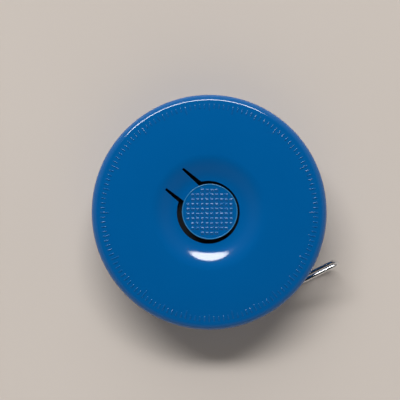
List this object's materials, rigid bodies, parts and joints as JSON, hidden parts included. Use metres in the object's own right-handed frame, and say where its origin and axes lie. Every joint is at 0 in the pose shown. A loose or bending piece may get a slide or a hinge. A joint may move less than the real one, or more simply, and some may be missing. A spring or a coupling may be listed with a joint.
{
  "type": "retractable tape measure",
  "caption": "Round pocket tape measure with a dished front, a push-button brake release on a moulded tongue and a wire pull loop on the tape's end.",
  "frame": {"origin": "centre of the flat back face, on the case axis", "axes": "+Z along the case axis, out of the front face with the button; +X and +Y across the face, with the tape leaving at 26.5 degrees from +X towards +Y"},
  "size_m": [0.0531, 0.05, 0.014],
  "materials": {
    "case_plastic": "glossy moulded plastic",
    "natural_plastic": "unpigmented, matte",
    "washer_fibre": "slippery, matte",
    "spool_plastic": "fine moulded texture",
    "spring_steel": "blued rolled strip",
    "plated_steel": "nickel plated sheet",
    "tape_vinyl": "coated woven glass fibre",
    "brake_rubber": "matte",
    "loop_chrome": "bright plated wire"
  },
  "bodies": {
    "case": {"front_cover": "case_plastic", "back_cover": "case_plastic", "arbor": "natural_plastic", "lower_washer": "washer_fibre", "upper_washer": "washer_fibre", "brake_spring": "spring_steel"},
    "button": {"release_button": "case_plastic"},
    "brake": {"brake_plunger": "natural_plastic", "brake_ring": "brake_rubber"},
    "reel": {"spool": "spool_plastic", "spool_lid": "spool_plastic", "mainspring": "spring_steel", "mainspring_rivet": "plated_steel", "tape_coil": "tape_vinyl", "tape_anchor": "spool_plastic"},
    "tape_end": {"tape_lead": "tape_vinyl", "end_ferrule": "plated_steel", "ferrule_rivets": "plated_steel"},
    "loop": {"pull_loop": "loop_chrome"}
  },
  "joints": [
    {"name": "button_press", "type": "hinge", "parent": "case", "child": "button", "pos_m": [-0.00781, 0.00656, 0.01296], "axis": [0.6428, 0.766, 0], "range_deg": [0, 3.4], "stiffness_Nm_per_rad": 0.5},
    {"name": "brake_slide", "type": "slide", "parent": "case", "child": "brake", "axis": [0, 0, -1], "range_m": [0, 0.0006], "deforming": ["brake_spring"]},
    {"name": "tape_pull", "type": "slide", "parent": "case", "child": "tape_end", "axis": [0.8949, 0.4462, 0], "range_m": [0, 1.5]},
    {"name": "reel_spin", "type": "hinge", "parent": "case", "child": "reel", "pos_m": [0, 0, 0.006], "axis": [0, 0, 1], "range_deg": [0, 4350], "deforming": ["mainspring"]},
    {"name": "loop_swing", "type": "hinge", "parent": "tape_end", "child": "loop", "pos_m": [0.01841, -0.01563, 0.0061], "axis": [0, 0, 1], "range_deg": [-100, 8]}
  ],
  "couplings": [
    {"joint": "brake_slide", "follows": "button_press", "m_per_rad": 0.010111},
    {"joint": "reel_spin", "follows": "tape_pull", "rad_per_m": 50.57}
  ]
}
